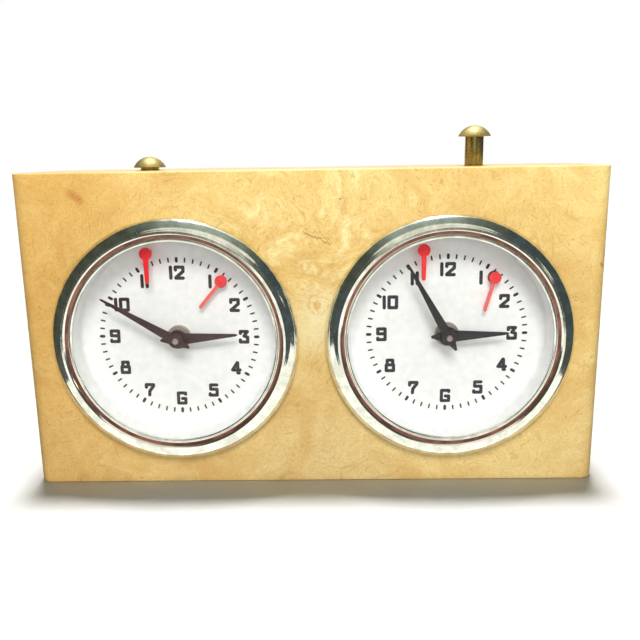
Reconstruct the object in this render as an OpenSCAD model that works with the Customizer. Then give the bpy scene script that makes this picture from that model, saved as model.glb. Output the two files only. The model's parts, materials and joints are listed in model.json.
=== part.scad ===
// Mechanical chess clock: two spring-driven clocks in one wooden case, joined by a
// rocker that two brass plungers tip from side to side.
// Origin: middle of the case's base. X to the right, Y to the back, Z up.
// Each clock is drawn in its own frame: x to the right, y up, z towards the front.

/* [Case] */
// Width of the case
case_w = 200; // [198:1:220]
// Height of the case
case_h = 110; // [109:1:120]
// Depth of the case, without bezels and keys
case_d = 55; // [55:1:60]
// Thickness of the front panel
front_t = 5.5; // [4:0.5:6]
// Thickness of the top and bottom boards
board_t = 6; // [5:0.5:6.5]
// Thickness of the side boards
side_t = 7; // [5:0.5:8]
// Radius of the two upright front edges
edge_r = 5; // [2:0.5:5]
// Thickness of the back panel
back_t = 3.5; // [3:0.5:3.5]

/* [Clock faces] */
// Distance of each clock's centre from the middle of the case
clock_dx = 47.2; // [46.5:0.1:50]
// Height of the clocks' centres above the base
clock_z = 52.5; // [52:0.5:54]
// Largest radius of the bezel
bezel_r = 42.4; // [42:0.1:43]
// How far the bezel stands out of the front panel
bezel_proud = 5.3; // [5:0.1:6]
// Radius of the sight opening inside the bezel
sight_r = 34.9; // [34.5:0.1:35]
// Depth of the dial behind the front of the case
dial_depth = 6; // [6:0.1:6.2]
// Length of the minute hand, from its axis to its tip
minute_len = 29.7; // [24:0.1:31]
// Length of the hour hand, from its axis to its tip
hour_len = 21.3; // [16:0.1:22]
// Length of the flag, from its pivot to its tip
flag_len = 10.3; // [8:0.1:10.5]
// Length of the running indicator, from its pivot to its tip
ticker_len = 12.2; // [9:0.1:13]

/* [Plungers] */
// Distance of each plunger from the middle of the case
plunger_dx = 59; // [56:0.5:62]
// Travel of each plunger
plunger_travel = 9.3; // [7:0.1:9.5]
// Height of a pressed plunger's cap above the case
cap_low = 1; // [1:0.1:2]
// Radius of the plunger caps
cap_r = 5.8; // [5:0.1:7]
// Radius of the plunger stems
stem_r = 3.3; // [3:0.1:3.5]

/* [Gear train] */
// Teeth on the mainspring barrel
barrel_teeth = 72; // [72]
// Teeth on the centre wheel and on its pinion
centre_teeth = [64, 12]; // [8:1:80]
// Teeth on the third wheel and on its pinion
third_teeth = [60, 8]; // [8:1:80]
// Teeth on the fourth wheel and on its pinion
fourth_teeth = [60, 8]; // [8:1:80]
// Teeth on the escape wheel and on its pinion
escape_teeth = [15, 6]; // [6:1:20]
// Teeth on the cannon pinion
cannon_teeth = 12; // [12]
// Teeth on the minute wheel and on its pinion
minute_teeth = [36, 10]; // [8:1:40]
// Teeth on the hour wheel
hour_teeth = 40; // [40]

/* [Hidden] */
$fn = 48;
SIDES = [-1, 1];

// Colours
wood = "burlywood";
raw_wood = "tan";
brass = "darkgoldenrod";
gear_brass = "goldenrod";
steel = "silver";
hand_dark = "#2a2224";
flag_red = "red";

// Heights in a clock's frame, from the middle of the case towards the front
face_z = case_d / 2;
panel_z = face_z - front_t;
dial_z = face_z - dial_depth;
dial_t = 0.6;
front_plate_z = [16, 17.5];
back_plate_z = [-4.5, -3];
back_panel_z = 1 - face_z;
crystal_z = [face_z + 2.9, face_z + 3.85];

// Radii of the nested rings around a clock
hole_r = 38.6;
ring_outer_r = 38.4;
ring_inner_r = 37.6;
ring_lip_r = 34.7;
ring_flange_r = 41;
front_plate_r = 37.4;
back_plate_r = 34;
cup_outer_r = 35.4;
cup_inner_r = 34.9;
crystal_r = 35.7;

// Running clearance between a shaft and its hole
fit = 0.05;

// Tooth modules of the meshes: barrel, centre to third, third to fourth, fourth to
// escape, and cannon to minute wheel
barrel_m = 0.45;
third_m = 0.4;
fourth_m = 0.35;
escape_m = 0.3;
cannon_m = 0.4;
// Distance between two meshed arbors
function mesh_dist(a, b, m) = (a + b) * m / 2;
motion_dist = mesh_dist(cannon_teeth, minute_teeth[0], cannon_m);
hour_m = 2 * motion_dist / (minute_teeth[1] + hour_teeth);

// Directions, in degrees, from each arbor to the next one in the train
barrel_dir = -90;
third_dir = 150;
fourth_dir = 60;
escape_dir = -10;
pallet_dir = -25;
balance_dir = -35;
motion_dir = -90;

function polar(r, a) = r * [cos(a), sin(a)];
barrel_at = polar(mesh_dist(barrel_teeth, centre_teeth[1], barrel_m), barrel_dir);
third_at = polar(mesh_dist(centre_teeth[0], third_teeth[1], third_m), third_dir);
fourth_at = third_at
    + polar(mesh_dist(third_teeth[0], fourth_teeth[1], fourth_m), fourth_dir);
escape_at = fourth_at
    + polar(mesh_dist(fourth_teeth[0], escape_teeth[1], escape_m), escape_dir);
pallet_dist = 7.4;
pallet_at = escape_at + polar(pallet_dist, pallet_dir);
balance_dist = 8.6;
balance_at = pallet_at + polar(balance_dist, balance_dir);
minute_at = polar(motion_dist, motion_dir);
flag_at = [-8.95, 30.2];
ticker_at = [15.9, 20];
ticker_hole_at = [[15.5, 19.5], [15.9, 20]];
pillar_at = 22.6;

// Angle that puts gear b in mesh with gear a, where dir is the direction from a to b
function mesh_angle(dir, a_teeth, a_angle, b_teeth) =
    dir + 180 - 180 / b_teeth + (dir - a_angle) * a_teeth / b_teeth;
// Picks the value that belongs to the left or the right clock
function pick(side, values) = side < 0 ? values[0] : values[1];

// Rest angles, anticlockwise from 12 o'clock: the hands show 2:50 and 2:55
minute_angle = [59.5, 29.4];
hour_angle = [-86.5, -87.7];
ticker_angle = [-220, -196];
pallet_swing = 5;
pallet_angle = [pallet_swing, -pallet_swing];
key_angle = [20, -35];

// Thickness of the arbors and of their pivots
arbor_r = 0.8;
pivot_r = 0.5;
escape_arbor_r = 0.5;
centre_r = 1.2;
cannon_r = 1.65;
hour_pipe_r = 2.5;
collar_r = 4.3;
winding_r = 2;
stud_r = 0.8;
flag_arbor_r = 0.7;
ticker_arbor_r = 0.6;

// Balance wheel and hairspring
balance_r = 7.6;
balance_rim = 1.2;
balance_z = [-1.6, -0.4];

// Regulator and the slot that its tab works in
regulator_len = 9;
regulator_swing = 22;
regulator_boss_r = 1.2;
tab_w = 1.6;

// Rocker: its tip angle, the height of its pivot and the gap under the stems
rocker_gap = 0.1;
rocker_t = 1.5;
rocker_half = 67.5;
rocker_w = 8;
rocker_angle = atan(plunger_travel / 2 / plunger_dx);
stem_bottom = case_h - board_t - 11.5;
rocker_z = stem_bottom + plunger_travel / 2 - rocker_gap - rocker_t / 2;
rocker_pin_r = 2;
bracket_gap = 5.5;
bracket_t = 1.5;
stop_wire_r = 0.4;
stop_gap = 0.15;

// ---------------------------------------------------------------- helpers

// Moves its children into the frame of one clock
module at_clock(side) {
    translate([side * clock_dx, 0, clock_z]) rotate([90, 0, 0]) children();
}

// Round bar or disc between two heights
module bar(r, z0, z1) {
    translate([0, 0, z0]) cylinder(r = r, h = z1 - z0);
}

// Flat shape made solid between two heights
module plate(z0, z1) {
    translate([0, 0, z0]) linear_extrude(height = z1 - z0) children();
}

module ring_2d(outer, inner) {
    difference() {
        circle(r = outer);
        circle(r = inner);
    }
}

// Outline of a gear with straight-flanked teeth; one tooth points along +x
function gear_points(teeth, m) =
    let (r = teeth * m / 2, root = r - 1.15 * m, tip = r + 0.75 * m, quarter = 90 / teeth)
    [for (i = [0:teeth - 1], p = [[-1.2, root], [-0.36, tip], [0.36, tip], [1.2, root]])
        polar(p[1], 360 * i / teeth + p[0] * quarter)];

module gear_2d(teeth, m) {
    polygon(gear_points(teeth, m));
}

// Wheel with crossings: a toothed rim, spokes and a hub
module wheel_2d(teeth, m, hub, spokes = 4) {
    rim = teeth * m / 2 - 1.15 * m - 1.1;
    difference() {
        gear_2d(teeth, m);
        circle(r = rim);
    }
    circle(r = hub);
    for (i = [0:spokes - 1]) {
        rotate(360 * i / spokes) translate([0, -0.6]) square([rim + 0.4, 1.2]);
    }
}

// Arbor between the two plates, with a thinner pivot at each end
module train_arbor(r) {
    bar(r, back_plate_z[1] + 0.2, front_plate_z[0] - 0.2);
    bar(min(r, pivot_r) - 0.1, back_plate_z[0] + 0.1, front_plate_z[1] - 0.1);
}

// ---------------------------------------------------------------- case

module front_panel() color(wood) difference() {
    linear_extrude(height = case_h) translate([0, -face_z]) intersection() {
        union() {
            for (s = SIDES) translate([s * (case_w / 2 - edge_r), edge_r]) circle(r = edge_r);
            translate([-case_w / 2 + edge_r, 0]) square([case_w - 2 * edge_r, front_t]);
            translate([-case_w / 2, edge_r]) square([case_w, front_t]);
        }
        translate([-case_w / 2, 0]) square([case_w, front_t]);
    }
    for (s = SIDES) at_clock(s) bar(hole_r, panel_z - 1, face_z + 1);
}

module wide_board(z0) {
    translate([-case_w / 2, -panel_z, z0]) cube([case_w, panel_z + face_z, board_t]);
}

module top_board() color(wood) difference() {
    wide_board(case_h - board_t);
    for (s = SIDES) translate([s * plunger_dx, 0, 0]) {
        bar(stem_r + 1, case_h - board_t - 1, case_h + 1);
    }
}

module bottom_board() color(wood) wide_board(0);

module side_boards() color(wood) for (s = SIDES) {
    translate([s * (case_w - side_t) / 2 - side_t / 2, -panel_z, board_t])
        cube([side_t, panel_z + face_z, case_h - 2 * board_t]);
}

block_w = 11;
screw_r = 1.5;
screw_x = case_w / 2 - side_t - block_w / 2;
screw_z = board_t + block_w / 2;

// Places its children at the four corner blocks' axes
module at_corners() {
    for (s = SIDES, z = [screw_z, case_h - screw_z]) {
        translate([s * screw_x, 0, z]) children();
    }
}

module corner_blocks() color(raw_wood) at_corners() rotate([90, 0, 0]) difference() {
    translate([-block_w / 2, -block_w / 2, back_panel_z + back_t])
        cube([block_w, block_w, panel_z - back_panel_z - back_t]);
    bar(screw_r, back_panel_z, -10);
}

// Round-headed wood screws with a slot
module back_panel_screws() {
    head_r = 3.1;
    head_h = 1.6;
    slot_w = 0.8;
    dome_r = (head_r * head_r + head_h * head_h) / (2 * head_h);
    color(steel) at_corners() rotate([90, 0, 0]) translate([0, 0, back_panel_z]) {
        bar(screw_r, 0, 14);
        difference() {
            intersection() {
                translate([0, 0, dome_r - head_h]) sphere(r = dome_r);
                bar(head_r, -head_h - 1, 0);
            }
            translate([-head_r - 1, -slot_w / 2, -head_h - 1]) cube([2 * head_r + 2, slot_w, 1.7]);
        }
    }
}

// Arc slot in which a regulator's tab moves
module regulator_slot() {
    translate(balance_at) intersection() {
        ring_2d(regulator_len + 1.5, regulator_len - 1.5);
        polygon([[0, 0], polar(20, 90 - regulator_swing - 8), polar(20, 90 + regulator_swing + 8)]);
    }
}

module back_panel() color(wood) difference() {
    translate([-case_w / 2 + side_t + 0.2, -back_panel_z - back_t, board_t + 0.2])
        cube([case_w - 2 * side_t - 0.4, back_t, case_h - 2 * board_t - 0.4]);
    at_corners() rotate([90, 0, 0]) bar(screw_r + 0.1, back_panel_z - 1, 0);
    for (s = SIDES) at_clock(s) {
        bar(2.4, back_panel_z - 1, 0);
        translate(barrel_at) bar(3, back_panel_z - 1, 0);
        plate(back_panel_z - 1, back_panel_z + back_t + 1) regulator_slot();
    }
}

// ---------------------------------------------------------------- plungers and rocker

module plunger_bushes() color(brass) for (s = SIDES) translate([s * plunger_dx, 0, 0]) {
    difference() {
        bar(stem_r + 1, case_h - board_t, case_h);
        bar(stem_r + fit, case_h - board_t - 1, case_h + 1);
    }
}

// Mushroom-headed plunger: a domed cap, a small neck fillet and a round-ended stem
module plunger(side, lift) {
    dome_h = 3.8;
    dome_r = (cap_r * cap_r + dome_h * dome_h) / (2 * dome_h);
    rim = case_h + cap_low;
    neck = 0.9;
    color(brass) translate([side * plunger_dx, 0, lift]) {
        intersection() {
            translate([0, 0, rim + dome_h - dome_r]) sphere(r = dome_r);
            bar(cap_r, rim, rim + dome_h + 1);
        }
        difference() {
            bar(stem_r + neck, rim - neck, rim);
            translate([0, 0, rim - neck]) rotate_extrude()
                translate([stem_r + neck, 0]) circle(r = neck);
        }
        bar(stem_r, stem_bottom + stem_r, rim);
        translate([0, 0, stem_bottom + stem_r]) sphere(r = stem_r);
    }
}

module plunger_left() plunger(-1, 0);
module plunger_right() plunger(1, plunger_travel);

// Tip of a stop wire in the rocker's own frame: it stands just clear of the balance
// rim when its own plunger is down
function stop_tip(side) =
    let (x = side * clock_dx + balance_at[0],
         z = clock_z + balance_at[1] + balance_r + stop_gap - rocker_z,
         a = side * rocker_angle)
    [x * cos(a) - z * sin(a), x * sin(a) + z * cos(a)];

module rocker() color(steel) translate([0, 0, rocker_z]) rotate([0, -rocker_angle, 0]) {
    difference() {
        union() {
            translate([-rocker_half, -rocker_w / 2, -rocker_t / 2])
                cube([2 * rocker_half, rocker_w, rocker_t]);
            rotate([90, 0, 0]) bar(rocker_pin_r + 1.6, -bracket_gap + 0.5, bracket_gap - 0.5);
        }
        rotate([90, 0, 0]) bar(rocker_pin_r + fit, -bracket_gap, bracket_gap);
    }
    for (s = SIDES) translate([stop_tip(s)[0], -(balance_z[0] + balance_z[1]) / 2, 0])
        bar(stop_wire_r, stop_tip(s)[1], -rocker_t / 2);
}

module rocker_bracket() color(steel) {
    half = bracket_gap + bracket_t;
    translate([-8, -half, case_h - board_t - bracket_t]) cube([16, 2 * half, bracket_t]);
    for (s = SIDES) translate([-5, s * (half - bracket_t / 2) - bracket_t / 2, rocker_z - 4])
        cube([10, bracket_t, case_h - board_t - rocker_z + 4]);
    translate([0, 0, rocker_z]) rotate([90, 0, 0]) bar(rocker_pin_r, -half, half);
}

// ---------------------------------------------------------------- fixed parts of the clocks

module mounting_rings() color(steel) for (s = SIDES) at_clock(s) {
    plate(face_z, face_z + 0.5) ring_2d(ring_flange_r, ring_inner_r);
    plate(front_plate_z[0] - 0.9, face_z) ring_2d(ring_outer_r, ring_inner_r);
    plate(front_plate_z[0] - 0.9, front_plate_z[0]) ring_2d(ring_inner_r + 0.1, ring_lip_r);
}

// Pivot holes that both plates share
module pivot_holes() {
    for (p = [third_at, fourth_at, escape_at, pallet_at, balance_at]) {
        translate(p) circle(r = pivot_r - 0.1 + fit);
    }
    circle(r = centre_r + fit);
}

module front_plates() color(gear_brass) for (s = SIDES) at_clock(s) {
    plate(front_plate_z[0], front_plate_z[1]) difference() {
        circle(r = front_plate_r);
        pivot_holes();
        translate(barrel_at) circle(r = centre_r + fit);
        translate(flag_at) circle(r = flag_arbor_r + fit);
        translate(ticker_at) circle(r = ticker_arbor_r + fit);
    }
    translate(minute_at) bar(stud_r, front_plate_z[1], dial_z - dial_t - 0.1);
}

module back_plates() color(gear_brass) for (s = SIDES) at_clock(s) {
    plate(back_plate_z[0], back_plate_z[1]) difference() {
        circle(r = back_plate_r);
        pivot_holes();
        translate(barrel_at) circle(r = winding_r + fit);
    }
    translate(balance_at) difference() {
        bar(regulator_boss_r, back_plate_z[0] - 1.4, back_plate_z[0]);
        bar(pivot_r - 0.1 + fit, back_plate_z[0] - 2, back_plate_z[0] + 1);
    }
}

module pillars() color(steel) for (s = SIDES) at_clock(s) {
    for (x = SIDES, y = SIDES) translate([x, y] * pillar_at) {
        bar(2, back_plate_z[1], front_plate_z[0]);
    }
}

// Flat spiral spring, with its outer end held by a stud on the back plate
module hairsprings() color("steelblue") for (s = SIDES) at_clock(s) translate(balance_at) {
    turns = 5;
    inner = 1.35;
    pitch = 0.6;
    half_t = 0.08;
    step = 20;
    spiral = [for (a = [0:step:360 * turns]) [a, inner + pitch * a / 360]];
    count = len(spiral) - 1;
    plate(-2.7, -2.1) polygon(concat(
        [for (i = [0:count]) polar(spiral[i][1] + half_t, spiral[i][0])],
        [for (i = [count:-1:0]) polar(spiral[i][1] - half_t, spiral[i][0])]));
    translate([inner + pitch * turns + 0.35, 0, back_plate_z[1]])
        translate([-0.4, -0.5, 0]) cube([0.8, 1, 1]);
}

module dial_washers() color("dimgray") for (s = SIDES) at_clock(s) {
    plate(dial_z, dial_z + 1.1) ring_2d(collar_r, hour_pipe_r + 0.1);
}

// Pressed bezel: a short wall, a domed band, a lip, a groove and a bead around the crystal
module bezel(side) {
    crown = face_z + bezel_proud;
    dome_r = 7.1;
    dome_at = [bezel_r - 0.15 - dome_r * sin(56), crown - 0.45 - dome_r * cos(22)];
    band = [for (a = [56:-34 / 8:22]) dome_at + dome_r * [sin(a), cos(a)]];
    color(steel) at_clock(side) rotate_extrude() polygon(concat(
        [[ring_flange_r + 0.1, face_z], [bezel_r, face_z], [bezel_r, crown - 3.3]],
        band,
        [[38.7, crown - 0.3], [38.5, crown - 0.05], [38.3, crown], [37.6, crown],
         [37.3, crown - 0.2], [37.1, crown - 0.9], [36.7, crown - 1.3], [36.1, crown - 1.4],
         [35.85, crown - 1.25], [35.6, crown - 1], [sight_r + 0.2, crown - 1],
         [sight_r, crown - 1.2], [sight_r, crystal_z[1]], [crystal_r + 0.1, crystal_z[1]],
         [crystal_r + 0.1, face_z + 0.5], [ring_flange_r + 0.1, face_z + 0.5]]));
}

module crystal(side) {
    color([0.8, 0.9, 0.95, 0.3]) at_clock(side) bar(crystal_r, crystal_z[0], crystal_z[1]);
}

// White enamelled cup that holds the dial and the wall around it
module dial(side) {
    color("white") at_clock(side) {
        plate(dial_z - dial_t, dial_z) difference() {
            circle(r = cup_outer_r);
            circle(r = hour_pipe_r + 0.1);
            translate(flag_at) circle(r = flag_arbor_r + 0.3);
            translate(pick(side, ticker_hole_at)) circle(r = 2.2);
        }
        plate(dial_z, crystal_z[0]) ring_2d(cup_outer_r, cup_inner_r);
        for (a = [30:120:270]) translate(polar(32.5, a)) {
            bar(1.2, front_plate_z[1], dial_z - dial_t);
        }
    }
}

// ---------------------------------------------------------------- hands and motion work

// Arbor that carries the cannon pinion and the minute hand, and the knob at its back
module centre_arbor(side) {
    color(steel) at_clock(side) {
        bar(centre_r, knob_z[0] + 1, dial_z + 6.4);
        bar(cannon_r, front_plate_z[1] + 0.3, dial_z + 6.4);
        bar(1.1, dial_z + 6.4, dial_z + 8);
        plate(front_plate_z[1] + 0.3, front_plate_z[1] + 1.7) gear_2d(cannon_teeth, cannon_m);
    }
}

// Flat hand: a hub, a long tapering blade and a short pointed tail
module hand_2d(length, root_w, tip_w, tail, hub) {
    circle(r = hub);
    polygon([[-root_w / 2, 0], [-tip_w / 2, length - tip_w], [0, length],
             [tip_w / 2, length - tip_w], [root_w / 2, 0]]);
    polygon([[-hub * 0.8, 0], [hub * 0.8, 0], [0.35, -tail], [-0.35, -tail]]);
}

module minute_hand(side) {
    color(hand_dark) at_clock(side) rotate(pick(side, minute_angle)) difference() {
        union() {
            plate(dial_z + 5.9, dial_z + 6.4) hand_2d(minute_len, 3.5, 0.7, 5.2, 2.6);
            bar(2.6, dial_z + 5.9, dial_z + 6.7);
        }
        bar(cannon_r, dial_z, dial_z + 6.4);
        bar(1.1, dial_z, dial_z + 8);
    }
}

module hour_wheel(side) {
    angle = mesh_angle(motion_dir + 180, minute_teeth[1], 0, hour_teeth);
    color(gear_brass) at_clock(side) difference() {
        union() {
            plate(front_plate_z[1] + 1.9, front_plate_z[1] + 2.7)
                rotate(angle) wheel_2d(hour_teeth, hour_m, 3.4);
            bar(hour_pipe_r, front_plate_z[1] + 1.9, dial_z + 4.5);
        }
        bar(cannon_r + fit, front_plate_z[1], dial_z + 6);
    }
}

module hour_hand(side) {
    color(hand_dark) at_clock(side) rotate(pick(side, hour_angle)) difference() {
        union() {
            plate(dial_z + 3.8, dial_z + 4.3) hand_2d(hour_len, 4.4, 0.85, 5.9, 3.3);
            bar(3.3, dial_z + 3.5, dial_z + 4.5);
        }
        bar(hour_pipe_r, dial_z, dial_z + 6);
    }
}

module minute_wheel(side) {
    angle = mesh_angle(motion_dir, cannon_teeth, 0, minute_teeth[0]);
    color(gear_brass) at_clock(side) translate(minute_at) difference() {
        union() {
            plate(front_plate_z[1] + 0.5, front_plate_z[1] + 1.3)
                rotate(angle) wheel_2d(minute_teeth[0], cannon_m, 2.6);
            plate(front_plate_z[1] + 1.3, front_plate_z[1] + 2.9)
                gear_2d(minute_teeth[1], hour_m);
        }
        bar(stud_r + fit, front_plate_z[1], dial_z);
    }
}

knob_z = [-34.2, -28.2];

// Knurled knob that sets the hands
module set_knob(side) {
    ribs = 24;
    knob_r = 6;
    color(brass) at_clock(side) difference() {
        union() {
            plate(knob_z[0] + 0.8, knob_z[1] - 0.8) polygon([for (i = [0:2 * ribs - 1])
                polar(knob_r - 0.4 * (i % 2), 180 * i / ribs)]);
            bar(knob_r - 0.9, knob_z[0], knob_z[1]);
        }
        bar(centre_r, knob_z[0] + 1, knob_z[1] + 1);
    }
}

// ---------------------------------------------------------------- going train

module barrel(side) {
    drum_r = 15;
    wall = 0.8;
    color(gear_brass) at_clock(side) translate(barrel_at) difference() {
        union() {
            plate(10.5, 11.7) rotate(mesh_angle(barrel_dir, centre_teeth[1], 0, barrel_teeth))
                gear_2d(barrel_teeth, barrel_m);
            bar(drum_r, -1.5, 10.5);
        }
        bar(drum_r - wall, -0.5, 10.7);
        bar(winding_r + fit, -2, 12);
    }
}

// Arbor that the key winds, with its ratchet wheel behind the back plate
module winding_arbor(side) {
    teeth = 20;
    ratchet = [for (i = [0:teeth - 1], p = [[0, 6], [0.85, 5]])
        polar(p[1], 360 * (i + p[0]) / teeth)];
    color(steel) at_clock(side) translate(barrel_at) {
        bar(winding_r, key_z[0] + 2, front_plate_z[0] - 0.3);
        bar(centre_r, front_plate_z[0] - 0.3, front_plate_z[1] - 0.1);
        bar(3.4, 0, 10);
        plate(-6, -4.8) polygon(ratchet);
    }
}

key_z = [-38, -28];

// Wing key
module winding_key(side) {
    color(brass) at_clock(side) translate(barrel_at) rotate(pick(side, key_angle)) {
        difference() {
            union() {
                bar(3.6, key_z[0] + 4, key_z[1]);
                translate([0, 1.1, 0]) rotate([90, 0, 0]) linear_extrude(height = 2.2) {
                    for (s = SIDES) translate([s * 6.5, key_z[0] + 4.2]) circle(r = 4.2);
                    translate([-6.5, key_z[0] + 1.6]) square([13, 6.8]);
                }
            }
            bar(winding_r, key_z[0] + 2, key_z[1] + 1);
        }
    }
}

// Wheel that turns loose on the centre arbor and drives the train
module centre_wheel(side) {
    color(gear_brass) at_clock(side) difference() {
        union() {
            plate(14.3, 15.3) wheel_2d(centre_teeth[0], third_m, 3.4);
            plate(10, 12.2) gear_2d(centre_teeth[1], barrel_m);
            bar(2, back_plate_z[1] + 0.2, front_plate_z[0] - 0.2);
        }
        bar(centre_r + fit, back_plate_z[1], front_plate_z[0]);
    }
}

module third_wheel(side) {
    angle = mesh_angle(third_dir, centre_teeth[0], 0, third_teeth[1]);
    color(gear_brass) at_clock(side) translate(third_at) {
        train_arbor(arbor_r);
        plate(13.9, 15.6) rotate(angle) gear_2d(third_teeth[1], third_m);
        plate(8.2, 9) wheel_2d(third_teeth[0], fourth_m, 2.2);
    }
}

module fourth_wheel(side) {
    angle = mesh_angle(fourth_dir, third_teeth[0], 0, fourth_teeth[1]);
    color(gear_brass) at_clock(side) translate(fourth_at) {
        train_arbor(arbor_r);
        plate(7.8, 9.4) rotate(angle) gear_2d(fourth_teeth[1], fourth_m);
        plate(4.2, 5) wheel_2d(fourth_teeth[0], escape_m, 2);
    }
}

escape_r = 5;

module escape_wheel(side) {
    angle = mesh_angle(escape_dir, fourth_teeth[0], 0, escape_teeth[1]);
    n = escape_teeth[0];
    teeth = [for (i = [0:n - 1], p = [[0, 3.7], [0.28, escape_r], [0.42, escape_r], [0.5, 3.7]])
        polar(p[1], 360 * (i + p[0]) / n)];
    color(gear_brass) at_clock(side) translate(escape_at) {
        train_arbor(escape_arbor_r);
        plate(3.8, 5.4) rotate(angle) gear_2d(escape_teeth[1], escape_m);
        plate(0.6, 1.4) difference() {
            polygon(teeth);
            ring_2d(2.9, 1.4);
        }
        plate(0.6, 1.4) for (i = [0:2]) rotate(120 * i) translate([1, -0.35]) square([2.2, 0.7]);
    }
}

// Lever with two pins that stand clear of the escape teeth, and a fork for the balance
module pallet_lever(side) {
    pin_dir = 50;
    pin_orbit = escape_r + 0.95;
    pin_r = 0.25;
    lever_z = [1.7, 2.5];
    arm_w = 1;
    hub_r = 1.4;
    fork_len = balance_dist - 2;
    pins = [for (s = SIDES) polar(pallet_dist, pallet_dir + 180) + polar(pin_orbit, pallet_dir + s * pin_dir)];
    color(steel) at_clock(side) translate(pallet_at) {
        train_arbor(0.6);
        rotate(pick(side, pallet_angle)) {
            for (p = pins) translate(p) bar(pin_r, 0.5, lever_z[0] + 0.3);
            plate(lever_z[0], lever_z[1]) union() {
                circle(r = hub_r);
                for (p = pins) rotate(atan2(p[1], p[0])) translate([0, -arm_w / 2]) square([norm(p) + 0.5, arm_w]);
                rotate(balance_dir) difference() {
                    polygon([[0, -0.6], [fork_len, -1.3], [fork_len, 1.3], [0, 0.6]]);
                    translate([fork_len - 1.6, -0.45]) square([3, 0.9]);
                }
            }
        }
    }
}

// Balance with its rim, two arms, collet and impulse pin
module balance_wheel(side) {
    color(gear_brass) at_clock(side) translate(balance_at) {
        bar(0.6, back_plate_z[1] + 0.2, front_plate_z[0] - 0.2);
        bar(pivot_r - 0.1, back_plate_z[0] - 1, front_plate_z[1] - 0.1);
        bar(1, -2.7, 0.6);
        plate(balance_z[0], balance_z[1]) {
            ring_2d(balance_r, balance_r - balance_rim);
            rotate(balance_dir) translate([-balance_r + 0.5, -0.7]) square([2 * balance_r - 1, 1.4]);
        }
        translate(polar(1.9, balance_dir + 180)) bar(0.3, balance_z[1], 1.5);
    }
}

module regulator(side) {
    z = [back_plate_z[0] - 1.1, back_plate_z[0] - 0.3];
    color(brass) at_clock(side) translate(balance_at) {
        plate(z[0], z[1]) difference() {
            union() {
                circle(r = 3);
                translate([-1, 0]) square([2, regulator_len + tab_w / 2]);
            }
            circle(r = regulator_boss_r + fit);
        }
        translate([-tab_w / 2, regulator_len - tab_w / 2, back_panel_z - 2])
            cube([tab_w, tab_w, z[0] - back_panel_z + 2.1]);
    }
}

// ---------------------------------------------------------------- flag and running indicator

// Red flag that hangs from its pivot until the minute hand lifts it
module flag(side) {
    head_r = 2.15;
    z = [dial_z + 4.6, dial_z + 5.4];
    color(flag_red) at_clock(side) translate(flag_at) {
        bar(flag_arbor_r, front_plate_z[0] + 0.1, z[1] + 0.3);
        plate(z[0], z[1]) difference() {
            union() {
                circle(r = head_r);
                polygon([[-0.95, 0], [-0.68, -flag_len + 0.68], [0.68, -flag_len + 0.68], [0.95, 0]]);
                translate([0, -flag_len + 0.68]) circle(r = 0.68);
            }
            translate([-0.25, head_r - 0.5]) square([0.5, 1]);
        }
    }
}

// Red pointer that wags while its clock runs
module running_indicator(side) {
    arm_w = 1.15;
    z = [dial_z + 1.8, dial_z + 2.6];
    color(flag_red) at_clock(side) translate(ticker_at) {
        bar(ticker_arbor_r, front_plate_z[0] + 0.1, z[1] + 0.3);
        rotate(pick(side, ticker_angle)) plate(z[0], z[1]) {
            circle(r = 2.1);
            translate([-arm_w / 2, 0]) square([arm_w, ticker_len - arm_w / 2]);
            translate([0, ticker_len - arm_w / 2]) circle(r = arm_w / 2);
        }
    }
}

// ---------------------------------------------------------------- nodes

front_panel();
top_board();
bottom_board();
side_boards();
corner_blocks();
back_panel();
back_panel_screws();
plunger_bushes();
plunger_left();
plunger_right();
rocker();
rocker_bracket();
mounting_rings();
front_plates();
back_plates();
pillars();
hairsprings();
dial_washers();
bezel(-1);  // bezel_left
crystal(-1);  // crystal_left
dial(-1);  // dial_left
centre_arbor(-1);  // centre_arbor_left
minute_hand(-1);  // minute_hand_left
set_knob(-1);  // set_knob_left
hour_wheel(-1);  // hour_wheel_left
hour_hand(-1);  // hour_hand_left
minute_wheel(-1);  // minute_wheel_left
centre_wheel(-1);  // centre_wheel_left
third_wheel(-1);  // third_wheel_left
fourth_wheel(-1);  // fourth_wheel_left
escape_wheel(-1);  // escape_wheel_left
pallet_lever(-1);  // pallet_lever_left
balance_wheel(-1);  // balance_wheel_left
barrel(-1);  // barrel_left
winding_arbor(-1);  // winding_arbor_left
winding_key(-1);  // winding_key_left
regulator(-1);  // regulator_left
flag(-1);  // flag_left
running_indicator(-1);  // running_indicator_left
bezel(1);  // bezel_right
crystal(1);  // crystal_right
dial(1);  // dial_right
centre_arbor(1);  // centre_arbor_right
minute_hand(1);  // minute_hand_right
set_knob(1);  // set_knob_right
hour_wheel(1);  // hour_wheel_right
hour_hand(1);  // hour_hand_right
minute_wheel(1);  // minute_wheel_right
centre_wheel(1);  // centre_wheel_right
third_wheel(1);  // third_wheel_right
fourth_wheel(1);  // fourth_wheel_right
escape_wheel(1);  // escape_wheel_right
pallet_lever(1);  // pallet_lever_right
balance_wheel(1);  // balance_wheel_right
barrel(1);  // barrel_right
winding_arbor(1);  // winding_arbor_right
winding_key(1);  // winding_key_right
regulator(1);  // regulator_right
flag(1);  // flag_right
running_indicator(1);  // running_indicator_right
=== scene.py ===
import json
import math

import bmesh
import bpy
from mathutils import Matrix, Vector, geometry

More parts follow.
